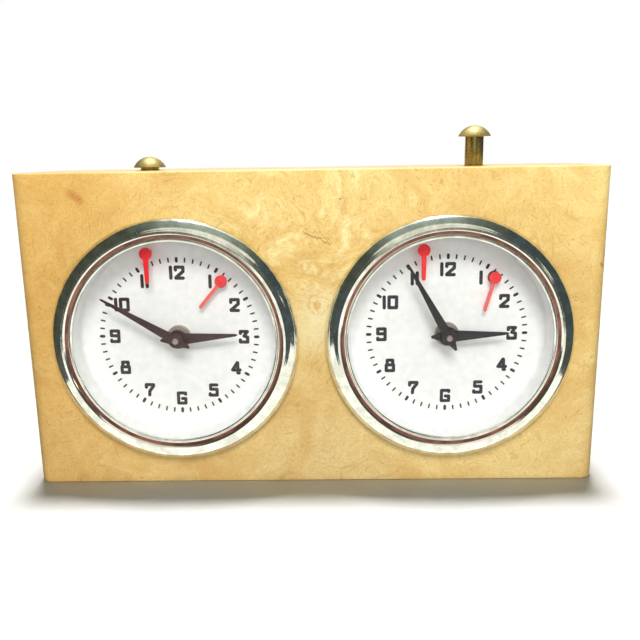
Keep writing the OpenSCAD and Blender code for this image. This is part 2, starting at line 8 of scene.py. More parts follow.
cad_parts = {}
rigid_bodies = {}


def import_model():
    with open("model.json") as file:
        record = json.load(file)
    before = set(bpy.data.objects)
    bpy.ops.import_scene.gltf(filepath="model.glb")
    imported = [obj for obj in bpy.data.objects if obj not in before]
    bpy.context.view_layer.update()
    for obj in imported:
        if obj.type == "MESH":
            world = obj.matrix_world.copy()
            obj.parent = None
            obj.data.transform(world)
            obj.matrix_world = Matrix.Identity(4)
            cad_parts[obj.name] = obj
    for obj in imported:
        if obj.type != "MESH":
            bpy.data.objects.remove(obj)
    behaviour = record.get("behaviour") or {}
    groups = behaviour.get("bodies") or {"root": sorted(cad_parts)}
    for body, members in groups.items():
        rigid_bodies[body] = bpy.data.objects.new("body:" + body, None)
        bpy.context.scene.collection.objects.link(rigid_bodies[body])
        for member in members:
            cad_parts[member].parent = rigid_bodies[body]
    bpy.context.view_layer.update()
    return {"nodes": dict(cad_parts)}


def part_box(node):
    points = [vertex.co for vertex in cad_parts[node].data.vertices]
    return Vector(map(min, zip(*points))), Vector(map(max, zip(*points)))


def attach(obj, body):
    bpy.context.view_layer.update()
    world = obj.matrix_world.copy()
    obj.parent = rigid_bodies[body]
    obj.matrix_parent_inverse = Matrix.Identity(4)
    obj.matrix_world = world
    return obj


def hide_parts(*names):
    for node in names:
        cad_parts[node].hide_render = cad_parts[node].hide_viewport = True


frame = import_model()
scene = bpy.context.scene

MM = 0.001
SIDES = {"left": -1, "right": 1}


# ------------------------------------------------------------------ places

def centre_of(node):
    low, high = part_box(node)
    return (low + high) / 2


FACE_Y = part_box("front_panel")[0].y
BASE_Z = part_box("bottom_board")[0].z
# How far the front of each part stands out from the case's front face, in mm
PROUD = {n: (FACE_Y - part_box(f"{n}_left")[0].y) / MM
         for n in ("bezel", "crystal", "minute_hand", "hour_hand", "centre_arbor",
                   "flag", "running_indicator")}
DIAL = (FACE_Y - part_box("dial_washers")[1].y) / MM
CRYSTAL_BACK = (FACE_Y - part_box("crystal_left")[1].y) / MM


def to_front(at):
    """Local x right, y up and z towards the front, in mm, with its zero on the front face."""
    upright = Matrix.Rotation(math.pi / 2, 4, "X")
    return Matrix.Translation((at.x, FACE_Y, at.z)) @ upright @ Matrix.Scale(MM, 4)


def to_up(at):
    """Local z up, in mm, with its zero at the point."""
    return Matrix.Translation(at) @ Matrix.Scale(MM, 4)


CLOCK = {side: to_front(centre_of(f"bezel_{side}")) for side in SIDES}


# ------------------------------------------------------------------ materials

def linear(rgb):
    return [((c / 255 + 0.055) / 1.055) ** 2.4 if c > 10 else c / 255 / 12.92 for c in rgb] + [1]


def add(tree, kind, props=None, **inputs):
    """New shader node. Inputs are named with underscores, or i0, i1... by their place."""
    node = tree.nodes.new("ShaderNode" + kind)
    for key, value in (props or {}).items():
        setattr(node, key, value)
    for key, value in inputs.items():
        place = int(key[1:]) if key[1:].isdigit() and key[0] == "i" else key.replace("_", " ")
        if isinstance(value, bpy.types.NodeSocket):
            tree.links.new(value, node.inputs[place])
        else:
            node.inputs[place].default_value = value
    return node


def math_node(tree, operation, a, b=0.0):
    return add(tree, "Math", {"operation": operation}, i0=a, i1=b).outputs[0]


def ramp(tree, factor, stops):
    """Colour ramp with (position, rgb 0-255) stops, or (position, value) for plain numbers."""
    node = add(tree, "ValToRGB", Fac=factor)
    ends = node.color_ramp.elements
    while len(ends) < len(stops):
        ends.new(0.5)
    for element, (position, tone) in zip(ends, stops):
        element.position = position
        element.color = linear(tone) if isinstance(tone, tuple) else (tone, tone, tone, 1)
    return node.outputs["Color"]


def mix(tree, factor, a, b, blend="MIX"):
    node = add(tree, "Mix", {"data_type": "RGBA", "blend_type": blend})
    for place, value in ((0, factor), (6, a), (7, b)):
        if isinstance(value, bpy.types.NodeSocket):
            tree.links.new(value, node.inputs[place])
        else:
            node.inputs[place].default_value = linear(value) if isinstance(value, tuple) else value
    return node.outputs[2]


def coordinates(tree, stretch=(1, 1, 1)):
    """Object coordinates in millimetres, stretched along the axes."""
    base = add(tree, "TexCoord").outputs["Object"]
    return add(tree, "Mapping", Vector=base, Scale=[s / MM for s in stretch]).outputs[0]


def noise(tree, vector, scale, detail, rough=0.55, distortion=0.0):
    return add(tree, "TexNoise", Vector=vector, Scale=scale, Detail=detail,
               Roughness=rough, Distortion=distortion).outputs["Fac"]


def new_material(name):
    material = bpy.data.materials.new(name)
    material.use_nodes = True
    tree = material.node_tree
    return material, tree, tree.nodes["Principled BSDF"]


def set_bump(tree, shader, height, distance, strength=0.3):
    node = add(tree, "Bump", Height=height, Strength=strength, Distance=distance)
    tree.links.new(node.outputs[0], shader.inputs["Normal"])


GLOSS_PATCH = 6.0  # mm across the patches of higher and lower gloss


def surface(name, tones, rough, metallic=0.0, grain=0.6, stretch=(1, 1, 1), bump=0.02, coat=0.0):
    """Finish whose colour and gloss wander between tones, with a fine grain."""
    material, tree, shader = new_material(name)
    place = coordinates(tree)
    cloud = noise(tree, place, 0.12, 5, 0.6, 0.4)
    fine = noise(tree, coordinates(tree, stretch), grain, 6, 0.7)
    both = math_node(tree, "ADD", math_node(tree, "MULTIPLY", cloud, 0.55),
                     math_node(tree, "MULTIPLY", fine, 0.45))
    steps = [(0.36 + 0.28 * i / max(1, len(tones) - 1), t) for i, t in enumerate(tones)]
    tree.links.new(ramp(tree, both, steps), shader.inputs["Base Color"])
    gloss = noise(tree, place, 1 / GLOSS_PATCH, 4, 0.6)
    tree.links.new(ramp(tree, gloss, [(0.35, rough[0]), (0.65, rough[1])]), shader.inputs["Roughness"])
    shader.inputs["Metallic"].default_value = metallic
    shader.inputs["Coat Weight"].default_value = coat
    set_bump(tree, shader, fine, bump * MM)
    return material


def spot(tree, place, at, size, edge, turn=0.0):
    """How far out in an uneven blot (middle x, z and half sizes in mm): about 1 at its edge."""
    local = add(tree, "Mapping", {"vector_type": "TEXTURE"}, Vector=place, Location=(at[0], 0, at[1]),
                Rotation=(0, math.radians(turn), 0), Scale=(size[0], 1000, size[1])).outputs[0]
    length = add(tree, "VectorMath", {"operation": "LENGTH"}, i0=local).outputs["Value"]
    wobble = math_node(tree, "MULTIPLY", math_node(tree, "SUBTRACT", noise(tree, place, 1.1, 3), 0.5), edge)
    return math_node(tree, "ADD", length, wobble)


def mapped(tree, place, stretch, turn=0.0):
    """Coordinates stretched along the axes after a turn in the front view, in degrees."""
    return add(tree, "Mapping", Vector=place, Rotation=(0, math.radians(turn), 0), Scale=stretch).outputs[0]


def pushed(tree, place, scale, detail, rough, reach):
    """Coordinates pushed about by a slow noise, up to about half the reach in mm."""
    push = add(tree, "TexNoise", Vector=place, Scale=scale, Detail=detail, Roughness=rough).outputs["Color"]
    push = add(tree, "VectorMath", {"operation": "SUBTRACT"}, i0=push, i1=(0.5, 0.5, 0.5)).outputs[0]
    push = add(tree, "VectorMath", {"operation": "SCALE"}, i0=push, Scale=reach).outputs[0]
    return add(tree, "VectorMath", {"operation": "ADD"}, i0=place, i1=push).outputs[0]


def smooth_step(tree, value, start, end):
    """0 at the start and 1 at the end, with a soft change between."""
    step = add(tree, "MapRange", {"interpolation_type": "SMOOTHSTEP"}, i0=value, i1=start, i2=end)
    return step.outputs[0]


def distance(tree, a, b):
    return math_node(tree, "ABSOLUTE", math_node(tree, "SUBTRACT", a, b))


def darkened(tree, factor, colour, tint):
    """Colour multiplied by a tint, as far as the factor says."""
    return mix(tree, factor, colour, mix(tree, 1.0, colour, tint, "MULTIPLY"))


def figured(tree, place, figure):
    """Colour of flowing patches, lines, streaks and pores, with the streaks and the pores themselves."""
    flow = pushed(tree, place, 0.028, 3.0, 0.5, 52.0 * figure)
    curls = noise(tree, flow, 0.034, 5, 0.5, 0.7 * figure)
    colour = ramp(tree, curls, [(0.30, (219, 176, 103)), (0.43, (229, 190, 114)), (0.52, (236, 200, 125)),
                                (0.60, (243, 211, 138)), (0.72, (231, 194, 119))])
    # Streaks that follow the flow, strongest in the middle of the sheet, and a brushed speckle
    streak = noise(tree, mapped(tree, flow, (0.3, 1, 1.3)), 0.8, 8, 0.78, 0.5)
    zone = ramp(tree, spot(tree, place, (2, 84), (60, 44), 0.5), [(0.3, 1.0), (1.0, 0.3)])
    share = math_node(tree, "ADD", math_node(tree, "MULTIPLY", zone, 0.6), 0.2)
    dark = math_node(tree, "MULTIPLY", ramp(tree, streak, [(0.40, 0.46), (0.53, 0.0)]), share)
    colour = mix(tree, dark, colour, (190, 142, 74))
    speckle = noise(tree, mapped(tree, place, (1.5, 1, 0.6), 24), 1.5, 5, 0.75)
    colour = mix(tree, ramp(tree, speckle, [(0.36, 0.34), (0.56, 0.0)]), colour, (196, 146, 78))
    # Soft pale patches
    shine = noise(tree, mapped(tree, flow, (0.7, 1, 1.2)), 0.085, 7, 0.66, 1.1)
    lift = math_node(tree, "MULTIPLY", ramp(tree, shine, [(0.48, 0.0), (0.66, 0.75)]), zone)
    colour = mix(tree, lift, colour, (250, 234, 172))
    # Thin growth lines, broken here and there
    field = noise(tree, flow, 0.022, 3, 0.45, 0.6)
    waves = math_node(tree, "SINE", math_node(tree, "MULTIPLY", field, 150.0))
    broken = ramp(tree, noise(tree, flow, 0.09, 4, 0.6), [(0.44, 0.0), (0.64, 0.42)])
    lines = math_node(tree, "MULTIPLY", ramp(tree, waves, [(0.7, 0.0), (1.0, 1.0)]), broken)
    colour = mix(tree, lines, colour, (196, 148, 78))
    # Pores
    pore = noise(tree, mapped(tree, flow, (0.45, 1, 1.3)), 1.9, 3, 0.6)
    colour = mix(tree, ramp(tree, pore, [(0.31, 0.55), (0.42, 0.0)]), colour, (164, 118, 60))
    return colour, streak, pore


EYE = (1.9, 64.2)


def shaded_front(tree, place, x, z, colour):
    """Front sheet: painted shade, darker and warmer towards the left end and darker towards the foot, most
    between the bezels; bleached between the bezels.
    """
    # Painted shade: the left end, away from the light, is made darker and warmer
    colour = darkened(tree, smooth_step(tree, x, -20.0, -96.0), colour, (245, 232, 214))
    # Painted shade: darker towards the foot, most of all between the bezels, where they throw shadow
    foot = add(tree, "MapRange", i0=z, i1=108.0, i2=12.0).outputs[0]
    between = ramp(tree, spot(tree, place, (0, 30), (45, 60), 0.5), [(0.2, 1.0), (1.0, 0.45)])
    colour = darkened(tree, math_node(tree, "MULTIPLY", foot, between), colour, (232, 231, 243))
    bleached = ramp(tree, spot(tree, place, (2.5, 59), (12, 15), 0.7), [(0.25, 0.6), (1.0, 0.0)])
    return mix(tree, bleached, colour, (231, 216, 172))


def resin_and_knots(tree, place, colour):
    """Smudge of resin near the top left corner, the core of the eye and three small knots."""
    smear = add(tree, "Mapping", {"vector_type": "TEXTURE"}, Vector=place,
                Rotation=(0, math.radians(-40), 0), Scale=(3, 1, 0.5)).outputs[0]
    grainy = ramp(tree, noise(tree, smear, 1.2, 4, 0.6), [(0.35, 0.5), (0.6, 1.0)])
    blot = ramp(tree, spot(tree, place, (-77.9, 102.0), (4.4, 2.0), 0.9, 38), [(0.2, 1.0), (1.0, 0.0)])
    colour = mix(tree, math_node(tree, "MULTIPLY", blot, grainy), colour, (190, 116, 54))
    for at, size, turn, tone, strength in (
            (EYE, (1.7, 1.9), 20, (214, 156, 78), 0.7),
            ((10.0, 100.3), (0.35, 0.35), 0, (112, 78, 36), 1.0),
            ((-5.3, 100.8), (0.3, 0.3), 0, (140, 100, 50), 0.8),
            ((98.1, 77.1), (1.2, 0.6), 60, (170, 110, 50), 0.8)):
        blot = spot(tree, place, at, size, 0.9, turn)
        colour = mix(tree, ramp(tree, blot, [(0.55, strength), (1.0, 0.0)]), colour, tone)
    return colour


def eye_rings(tree, place, colour):
    """Uneven rings round the eye."""
    ring = spot(tree, pushed(tree, place, 0.2, 3.0, 0.6, 7.0), EYE, (4.8, 4.4), 0.25)
    wave = math_node(tree, "SINE", math_node(tree, "MULTIPLY", ring, 19.0))
    mask = ramp(tree, ring, [(0.3, 0.0), (0.45, 0.75), (1.0, 0.5), (1.0, 0.0)])
    share = math_node(tree, "MULTIPLY", ramp(tree, wave, [(0.5, 0.0), (1.0, 0.8)]), mask)
    return mix(tree, share, colour, (196, 144, 74))


def burl_lines(tree, x, z, colour):
    """Two crooked dark lines side by side, falling to the right, about 10 mm long."""
    away = math_node(tree, "MULTIPLY", distance(tree, x, 2.2), 0.1)
    near = ramp(tree, away, [(0.4, 1.0), (0.52, 0.0)])
    crook = noise(tree, add(tree, "CombineXYZ", X=x).outputs[0], 0.5, 5, 0.72)
    upper = math_node(tree, "ADD", math_node(tree, "MULTIPLY", crook, 7.0), 84.9)
    upper = math_node(tree, "SUBTRACT", upper, math_node(tree, "MULTIPLY", x, 0.44))
    thin = ramp(tree, distance(tree, z, upper), [(0.12, 0.8), (0.42, 0.0)])
    colour = mix(tree, math_node(tree, "MULTIPLY", thin, near), colour, (158, 108, 48))
    crook = noise(tree, add(tree, "CombineXYZ", X=x, Y=9.0).outputs[0], 0.6, 5, 0.75)
    second = math_node(tree, "ADD", upper, math_node(tree, "MULTIPLY", crook, 5.6))
    second = math_node(tree, "SUBTRACT", second, 1.3)
    thin = ramp(tree, distance(tree, z, second), [(0.1, 0.6), (0.36, 0.0)])
    return mix(tree, math_node(tree, "MULTIPLY", thin, near), colour, (176, 128, 62))


def veneer(name, figure=1.0, front=True, coat=0.2, tint=(250, 254, 252)):
    """Pale figured veneer. The front sheet has marks of its own."""
    material, tree, shader = new_material(name)
    place = coordinates(tree)
    colour, streak, pore = figured(tree, place, figure)
    if front:
        x, _, z = add(tree, "SeparateXYZ", i0=place).outputs
        colour = shaded_front(tree, place, x, z, colour)
        colour = resin_and_knots(tree, place, colour)
        colour = eye_rings(tree, place, colour)
        colour = burl_lines(tree, x, z, colour)
    colour = mix(tree, 1.0, colour, tint, "MULTIPLY")
    tree.links.new(colour, shader.inputs["Base Color"])
    tree.links.new(ramp(tree, streak, [(0.35, 0.52), (0.65, 0.4)]), shader.inputs["Roughness"])
    shader.inputs["Specular IOR Level"].default_value = 0.35
    shader.inputs["Coat Weight"].default_value = coat
    shader.inputs["Coat Roughness"].default_value = 0.14
    height = math_node(tree, "ADD", streak, math_node(tree, "MULTIPLY", pore, 0.6))
    set_bump(tree, shader, height, 0.05 * MM, 0.35)
    return material


def chrome(name, tones, rough, metallic=1.0):
    """Polished plate with faint hairlines and specks of wear."""
    material, tree, shader = new_material(name)
    place = coordinates(tree)
    cloud = noise(tree, place, 0.2, 4)
    tree.links.new(ramp(tree, cloud, [(0.4, tones[0]), (0.6, tones[1])]), shader.inputs["Base Color"])
    hair = noise(tree, place, 1.6, 6, 0.8)
    tree.links.new(ramp(tree, hair, [(0.45, rough[0]), (0.62, rough[1])]), shader.inputs["Roughness"])
    shader.inputs["Metallic"].default_value = metallic
    set_bump(tree, shader, hair, 0.018 * MM, 0.35)
    return material


def clear_crystal():
    """Thin clear pane: see-through, with a little gloss and a trace of haze."""
    material, tree, shader = new_material("clear_pane")
    tree.nodes.remove(shader)
    haze = noise(tree, coordinates(tree), 0.4, 3)
    through = add(tree, "BsdfTransparent")
    tint = ramp(tree, haze, [(0.3, (249, 250, 250)), (0.7, (254, 254, 254))])
    tree.links.new(tint, through.inputs["Color"])
    gloss = add(tree, "BsdfGlossy")
    tree.links.new(ramp(tree, haze, [(0.3, 0.02), (0.7, 0.05)]), gloss.inputs["Roughness"])
    edge = add(tree, "Fresnel", IOR=1.35)
    share = math_node(tree, "MULTIPLY", edge.outputs[0], 0.5)
    both = add(tree, "MixShader", i0=share, i1=through.outputs[0], i2=gloss.outputs[0])
    tree.links.new(both.outputs[0], tree.nodes["Material Output"].inputs["Surface"])
    return material


WOOD = veneer("figured_veneer")
PLAIN_WOOD = veneer("plain_veneer", 0.6, False, 0.7)
# Painted shade: the top board's veneer is tinted darker to hold down the overhead sun on it
SHADED_TOP_WOOD = veneer("top_veneer_shaded", 0.6, False, 0.5, (222, 216, 200))
RAW_WOOD = surface("raw_softwood", [(206, 168, 112), (222, 186, 132), (198, 156, 98)], (0.6, 0.75),
                   stretch=(1, 0.1, 1))
CHROME = chrome("chrome_plate", [(220, 222, 214), (248, 250, 244)], (0.05, 0.2))
GROOVE = chrome("worn_groove", [(146, 98, 88), (106, 66, 58)], (0.28, 0.4), 0.6)
BRASS = surface("old_brass", [(128, 112, 66), (170, 154, 98), (194, 178, 124)], (0.5, 0.64), 0.85,
                grain=1.5, bump=0.03)
STEM_BRASS = surface("stem_brass", [(128, 116, 66), (176, 162, 108)], (0.15, 0.24), 0.9,
                     grain=1.5, bump=0.015)
PLATE_BRASS = surface("plate_brass_fine", [(196, 160, 84), (214, 182, 104)], (0.25, 0.38), 1.0,
                      stretch=(0.1, 1, 1))
STEEL = surface("plain_steel", [(168, 168, 170), (200, 200, 202)], (0.28, 0.42), 0.8, stretch=(1, 1, 0.2))
BLUED = surface("blued_steel_fine", [(36, 48, 110), (58, 74, 150)], (0.2, 0.32), 1.0)
COLLAR = surface("collar_grey", [(166, 152, 142), (200, 190, 180)], (0.28, 0.4), 0.35, grain=2.0)
PIN = surface("pin_steel", [(158, 142, 138), (194, 178, 172)], (0.3, 0.42), 0.4, grain=2.0)
ENAMEL = surface("dial_enamel", [(250, 250, 250), (254, 254, 253)], (0.3, 0.42), bump=0.004, coat=0.15)
INK = {"left": surface("dial_ink_left", [(48, 36, 38), (60, 46, 48)], (0.5, 0.65), grain=3.0),
       "right": surface("dial_ink_right", [(30, 34, 40), (42, 46, 54)], (0.5, 0.65), grain=3.0)}
HAND = {"left": surface("hand_lacquer_left", [(58, 34, 38), (70, 42, 46)], (0.35, 0.5), grain=2.0),
        "right": surface("hand_lacquer_right", [(20, 19, 27), (34, 30, 38)], (0.3, 0.45), grain=2.0)}
FLAG = surface("flag_lacquer", [(248, 26, 34), (255, 36, 42)], (0.35, 0.5), grain=2.0)
TICKER = surface("ticker_head", [(240, 48, 56), (250, 62, 68)], (0.35, 0.5), grain=2.0)
TICKER_ARM = surface("ticker_arm", [(246, 96, 96), (252, 112, 108)], (0.4, 0.55), grain=2.0)
CRYSTAL = clear_crystal()

CAD_FINISH = {"veneer": PLAIN_WOOD, "raw_wood": RAW_WOOD, "brass": BRASS, "plate_brass": PLATE_BRASS,
              "steel": STEEL, "blued_steel": BLUED, "dark_steel": COLLAR, "chrome": CHROME,
              "crystal": CRYSTAL, "dial_white": ENAMEL, "hand_black": HAND["right"],
              "flag_red": FLAG, "indicator_red": TICKER}
for node in frame["nodes"].values():
    for holder in node.material_slots:
        holder.material = CAD_FINISH[holder.material.name.split(".")[0]]


# ------------------------------------------------------------------ shapes

def circle(radius, at=(0, 0), count=64, start=0.0, span=360.0):
    last = count if span == 360 else count - 1
    return [(at[0] + radius * math.cos(math.radians(start + span * i / last)),
             at[1] + radius * math.sin(math.radians(start + span * i / last))) for i in range(count)]


def polar(radius, angle):
    return radius * math.cos(math.radians(angle)), radius * math.sin(math.radians(angle))


def lathe(profile, segments=128):
    """Solid turned round the local z axis from a closed outline of (radius, height) points."""
    bm = bmesh.new()
    rings = []
    for radius, height in profile:
        if radius < 1e-6:
            rings.append([bm.verts.new((0, 0, height))] * segments)
        else:
            around = [polar(radius, 360 * i / segments) for i in range(segments)]
            rings.append([bm.verts.new((*point, height)) for point in around])
    for a, b in zip(rings, rings[1:] + rings[:1]):
        for i in range(segments):
            j = (i + 1) % segments
            corners = []
            for v in (a[i], a[j], b[j], b[i]):
                if v not in corners:
                    corners.append(v)
            if len(corners) > 2:
                bm.faces.new(corners)
    return bm


def flat_union(polygons):
    """Triangles of the union of flat polygons, as (points, faces)."""
    points, faces = [], []
    for polygon in polygons:
        faces.append(list(range(len(points), len(points) + len(polygon))))
        points += [Vector(p) for p in polygon]
    out = geometry.delaunay_2d_cdt(points, [], faces, 1, 1e-5)
    return out[0], [f for f, source in zip(out[2], out[5]) if source]


def union_outline(polygons):
    """Closed outlines round the union of flat polygons."""
    points, faces = flat_union(polygons)
    after = {}
    edges = {(f[i], f[(i + 1) % len(f)]) for f in faces for i in range(len(f))}
    for a, b in edges:
        if (b, a) not in edges:
            after[a] = b
    loops = []
    while after:
        start = min(after)
        loop, here = [], start
        while here in after:
            loop.append((points[here].x, points[here].y))
            here = after.pop(here)
        loops.append(loop)
    return loops


def slab(outlines, low, high, rounding=0.0, steps=2):
    """Flat shape between two heights, with holes where outlines nest, and rounded edges."""
    curve = bpy.data.curves.new("outline", "CURVE")
    curve.dimensions = "2D"
    curve.fill_mode = "BOTH"
    curve.extrude = (high - low) / 2 - rounding
    curve.bevel_depth = rounding
    curve.bevel_resolution = steps
    curve.offset = -rounding
    for outline in outlines:
        spline = curve.splines.new("POLY")
        spline.points.add(len(outline) - 1)
        for point, (x, y) in zip(spline.points, outline):
            point.co = (x, y, 0, 1)
        spline.use_cyclic_u = True
    holder = bpy.data.objects.new("outline", curve)
    scene.collection.objects.link(holder)
    mesh = bpy.data.meshes.new_from_object(holder.evaluated_get(bpy.context.evaluated_depsgraph_get()))
    bm = bmesh.new()
    bm.from_mesh(mesh)
    bm.transform(Matrix.Translation((0, 0, (low + high) / 2)))
    bpy.data.objects.remove(holder)
    bpy.data.curves.remove(curve)
    bpy.data.meshes.remove(mesh)
    return bm


def thin_print(polygons, low, high):
    """Thin solid of a union of flat polygons, for printing."""
    points, faces = flat_union(polygons)
    bm = bmesh.new()
    rows = [[bm.verts.new((p.x, p.y, z)) for p in points] for z in (low, high)]
    edges = {(f[i], f[(i + 1) % len(f)]) for f in faces for i in range(len(f))}
    for f in faces:
        bm.faces.new([rows[1][i] for i in f])
        bm.faces.new([rows[0][i] for i in reversed(f)])
    for a, b in edges:
        if (b, a) not in edges:
            bm.faces.new((rows[0][a], rows[0][b], rows[1][b], rows[1][a]))
    return bm


def stroke(points, width):
    """Polygons of a line with round joins and ends."""
    half = width / 2
    parts = [circle(half, p, 16) for p in points]
    for (x0, y0), (x1, y1) in zip(points, points[1:]):
        length = math.hypot(x1 - x0, y1 - y0)
        nx, ny = -(y1 - y0) / length * half, (x1 - x0) / length * half
        parts.append([(x0 - nx, y0 - ny), (x1 - nx, y1 - ny), (x1 + nx, y1 + ny), (x0 + nx, y0 + ny)])
    return parts


def joined(*parts):
    """One bmesh of several."""
    whole = bmesh.new()
    for bm in parts:
        mesh = bpy.data.meshes.new("part")
        bm.to_mesh(mesh)
        bm.free()
        whole.from_mesh(mesh)
        bpy.data.meshes.remove(mesh)
    return whole


def moved(bm, matrix):
    bm.transform(matrix)
    return bm


def piece(name, bm, matrix, finish, body, replaces=(), sharp=32):
    """Makes the object, rides it on its body and hides the CAD nodes it stands for."""
    bmesh.ops.remove_doubles(bm, verts=bm.verts, dist=1e-4)
    bmesh.ops.dissolve_degenerate(bm, edges=bm.edges, dist=1e-5)
    bmesh.ops.recalc_face_normals(bm, faces=bm.faces)
    bm.transform(matrix)
    mesh = bpy.data.meshes.new(name)
    bm.to_mesh(mesh)
    bm.free()
    for material in finish if isinstance(finish, list) else [finish]:
        mesh.materials.append(material)
    mesh.shade_smooth()
    mesh.set_sharp_from_angle(angle=math.radians(sharp))
    obj = bpy.data.objects.new(name, mesh)
    scene.collection.objects.link(obj)
    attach(obj, body)
    if replaces:
        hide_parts(*replaces)
    return obj


def arc(x, y, radius, start, end, count):
    """Points on an arc, for profiles."""
    return [(x + radius * math.cos(math.radians(start + (end - start) * i / (count - 1))),
             y + radius * math.sin(math.radians(start + (end - start) * i / (count - 1))))
            for i in range(count)]


# ------------------------------------------------------------------ case

def mm_box(node):
    low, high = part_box(node)
    return low / MM, high / MM


def cut_round(obj, cutters):
    """Cuts turned solids out of an object."""
    for bm in cutters:
        mesh = bpy.data.meshes.new("cutter")
        bm.to_mesh(mesh)
        bm.free()
        tool = bpy.data.objects.new("cutter", mesh)
        scene.collection.objects.link(tool)
        modifier = obj.modifiers.new("cut", "BOOLEAN")
        modifier.object = tool
        modifier.solver = "EXACT"
        result = bpy.data.meshes.new_from_object(obj.evaluated_get(bpy.context.evaluated_depsgraph_get()))
        obj.modifiers.clear()
        old, obj.data = obj.data, result
        result.name = obj.name
        bpy.data.meshes.remove(old)
        bpy.data.objects.remove(tool)
        bpy.data.meshes.remove(mesh)
    obj.data.set_sharp_from_angle(angle=math.radians(32))


low, high = mm_box("front_panel")
EDGE_R = 5.0
half_w = (high.x - low.x) / 2
round_y = -low.y - EDGE_R
outline = ([(half_w, -high.y), (half_w, round_y)]
           + circle(EDGE_R, (half_w - EDGE_R, round_y), 14, 0, 90)
           + circle(EDGE_R, (EDGE_R - half_w, round_y), 14, 90, 90)
           + [(-half_w, round_y), (-half_w, -high.y)])
front = piece("front_panel_veneered", slab([outline], low.z, high.z, 0.4, 2),
              Matrix.Scale(MM, 4) @ Matrix.Scale(-1, 4, (0, 1, 0)), WOOD, "case", ["front_panel"])
WINDOW_R = 38.6
REACH = 20.0  # of the drill to both sides of the front face
drill = [(0, -REACH), (WINDOW_R, -REACH), (WINDOW_R, REACH), (0, REACH)]
cut_round(front, [moved(lathe(drill), CLOCK[side]) for side in SIDES])

stem_hole = (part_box("plunger_bushes")[1].x - centre_of("plunger_right").x) / MM


def board(name, node, finish, holes=()):
    """Board lying flat, with softened edges and round holes."""
    low, high = mm_box(node)
    outline = [(low.x, low.y), (high.x, low.y), (high.x, high.y), (low.x, high.y)]
    rounds = [circle(r, (x, y), 48) for x, y, r in holes]
    piece(name, slab([outline] + rounds, low.z, high.z, 0.3), Matrix.Scale(MM, 4), finish,
          "case", [node])


stems = [centre_of(f"plunger_{side}") / MM for side in SIDES]
board("top_board_veneered", "top_board", SHADED_TOP_WOOD, [(stem.x, stem.y, stem_hole) for stem in stems])
board("bottom_board_veneered", "bottom_board", PLAIN_WOOD)

low, high = mm_box("side_boards")
END_THICK = 7.0
ends = [slab([[(x, low.y), (x + END_THICK, low.y), (x + END_THICK, high.y), (x, high.y)]], low.z, high.z, 0.3)
        for x in (low.x, high.x - END_THICK)]
piece("end_boards_veneered", joined(*ends), Matrix.Scale(MM, 4), PLAIN_WOOD, "case",
      ["side_boards"])


# ------------------------------------------------------------------ clocks

def digit_strokes():
    """Centre lines of the squarish figures, on a grid from -1 to 1."""
    return {
        "0": [[(-1, -1), (1, -1), (1, 1), (-1, 1), (-1, -1)]],
        "1": [[(0, 1), (0.04, -1)]],
        "2": [[(-1, 0.5), (-1, 1), (1, 1), (1, 0.22), (-0.95, -0.9), (-0.95, -1), (1, -1)]],
        "3": [[(-0.95, 0.62), (-0.95, 1), (0.95, 1), (0, 0.14), (1, -0.08), (1, -1), (-1, -1), (-1, -0.6)]],
        "4": [[(0.3, 1), (-1, -0.42), (1.05, -0.42)], [(0.45, 0.95), (0.45, -1), (0.8, -1)]],
        "5": [[(0.95, 1), (-0.75, 1), (-0.75, 0.16), (1, 0.16), (1, -1), (-0.95, -1), (-0.95, -0.72)]],
        "6": [[(1, 0.75), (1, 1), (-1, 1), (-1, -1), (1, -1), (1, -0.1), (0.1, -0.1)]],
        "7": [[(-1, 0.5), (-1, 1), (1, 1), (1, 0.75), (-0.1, -0.25), (-0.2, -1)]],
        "8": [[(-0.75, 1), (0.75, 1), (0.75, 0.1), (-0.75, 0.1), (-0.75, 1)],
              [(-1, 0.1), (1, 0.1), (1, -1), (-1, -1), (-1, 0.1)]],
        "9": [[(-1, -0.75), (-1, -1), (1, -1), (1, 1), (-1, 1), (-1, 0.1), (1, 0.1)]],
    }


DIGITS = digit_strokes()
INK_W = 1.18
DIGIT_W = 2.6
DIGIT_H = 3.85
NUMBER_R = 22.9
TICK_R = 27.4
DIAL_TURN = {"left": -0.88, "right": 0.0}


def number_polygons(text, at):
    """A number of the dial, upright, centred on a point."""
    widths = [0.0 if c == "1" else DIGIT_W for c in text]
    gap = INK_W + 0.55
    total = sum(widths) + gap * (len(text) - 1)
    x = at[0] - total / 2
    parts = []
    for c, w in zip(text, widths):
        for line in DIGITS[c]:
            scale = DIGIT_W / 2
            parts += stroke([(x + w / 2 + px * scale, at[1] + py * DIGIT_H / 2) for px, py in line], INK_W)
        x += w + gap
    return parts


def dial_marks(side):
    parts = []
    for i in range(60):
        major = i % 5 == 0
        half, width = (1.0, 1.0) if major else (0.9, 0.56)
        reach = half - width / 2
        parts += stroke([polar(TICK_R - reach, 6 * i), polar(TICK_R + reach, 6 * i)], width)
    for hour in range(1, 13):
        parts += number_polygons(str(hour), polar(NUMBER_R, 90 - 30 * hour))
    bm = thin_print(parts, DIAL - 0.02, DIAL + 0.03)
    piece(f"dial_marks_{side}", bm, spin(side, DIAL_TURN[side]), INK[side], "case")


BEZEL_R = (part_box("bezel_left")[1].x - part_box("bezel_left")[0].x) / 2 / MM
SIGHT_R = 34.9
FLAG_AT = (-8.95, 30.2)
TICKER_AT = (15.9, 20.0)
TICKER_HOLE = {"left": (15.5, 19.5), "right": TICKER_AT}


